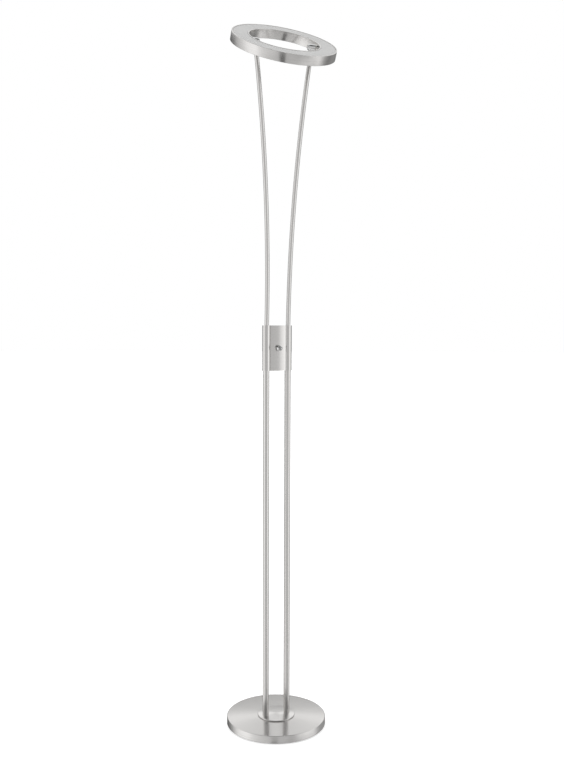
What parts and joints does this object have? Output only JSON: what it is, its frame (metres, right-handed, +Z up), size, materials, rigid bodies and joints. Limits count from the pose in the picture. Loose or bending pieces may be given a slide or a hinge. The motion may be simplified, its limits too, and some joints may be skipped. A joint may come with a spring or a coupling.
{
  "type": "torchiere floor lamp",
  "caption": "Floor-standing uplight: weighted round base, twin tubes through a dimmer sleeve, flaring rods and a tilting ring-shaped light head.",
  "frame": {"origin": "centre of the base's underside, on the floor", "axes": "+Z up; +X from the left tube to the right tube; the dimmer knob faces -Y, which is also the side the head leans to"},
  "size_m": [0.2628, 0.2895, 1.8003],
  "materials": {
    "satin_nickel": "brushed satin nickel",
    "satin_nickel_tube": "satin nickel drawn along the tube",
    "satin_nickel_cast": "satin nickel plated casting",
    "satin_nickel_ring": "satin nickel plated aluminium",
    "cast_weight": "cast iron, dark paint",
    "plated_steel": "black painted steel",
    "zinc_screws": "zinc plated",
    "black_screws": "black oxide",
    "pad_rubber": "matt",
    "gland_rubber": "matt",
    "terminal_plastic": "moulded",
    "cover_paint": "satin grey paint",
    "dimmer_metal": "stamped",
    "polished_chrome": "polished",
    "circuit_board": "solder mask",
    "component_plastic": "moulded",
    "washer_nylon": "nylon",
    "satin_acrylic": "opal, satin",
    "tray_aluminium": "mill finish",
    "brass_posts": "turned",
    "white_board": "white solder mask",
    "led_phosphor": "silicone with phosphor"
  },
  "bodies": {
    "frame": {"base_shell": "satin_nickel", "base_weight": "cast_weight", "bottom_plate": "plated_steel", "plate_screws": "zinc_screws", "foot_pads": "pad_rubber", "collar": "satin_nickel", "cord_gland": "gland_rubber", "terminal_block": "terminal_plastic", "left_tube": "satin_nickel_tube", "right_tube": "satin_nickel_tube", "tube_plugs": "zinc_screws", "base_nipples": "zinc_screws", "base_washers": "zinc_screws", "base_nuts": "zinc_screws", "sleeve_body": "satin_nickel_cast", "grub_screws": "black_screws", "sleeve_cover": "cover_paint", "cover_screws": "black_screws", "dimmer_case": "dimmer_metal", "dimmer_nut": "polished_chrome", "dimmer_board": "circuit_board", "dimmer_parts": "component_plastic", "left_rod": "satin_nickel_tube", "left_knuckle": "polished_chrome", "right_rod": "satin_nickel_tube", "right_knuckle": "polished_chrome", "friction_washers": "washer_nylon"},
    "knob": {"dimmer_shaft": "zinc_screws", "dimmer_knob": "polished_chrome"},
    "head": {"pivot_screws": "polished_chrome", "pivot_bosses": "polished_chrome", "ring_housing": "satin_nickel_ring", "diffuser": "satin_acrylic", "led_tray": "tray_aluminium", "tray_posts": "brass_posts", "tray_screws": "zinc_screws", "led_board": "white_board", "led_chips": "led_phosphor", "driver_board": "circuit_board", "driver_parts": "component_plastic"}
  },
  "joints": [
    {"name": "head_tilt", "type": "hinge", "parent": "frame", "child": "head", "pos_m": [0, -0.041, 1.7228], "axis": [1, 0, 0], "range_deg": [-91, 29]},
    {"name": "dimmer_turn", "type": "hinge", "parent": "frame", "child": "knob", "pos_m": [0, -0.025, 0.978], "axis": [0, 1, 0], "range_deg": [0, 270]}
  ]
}
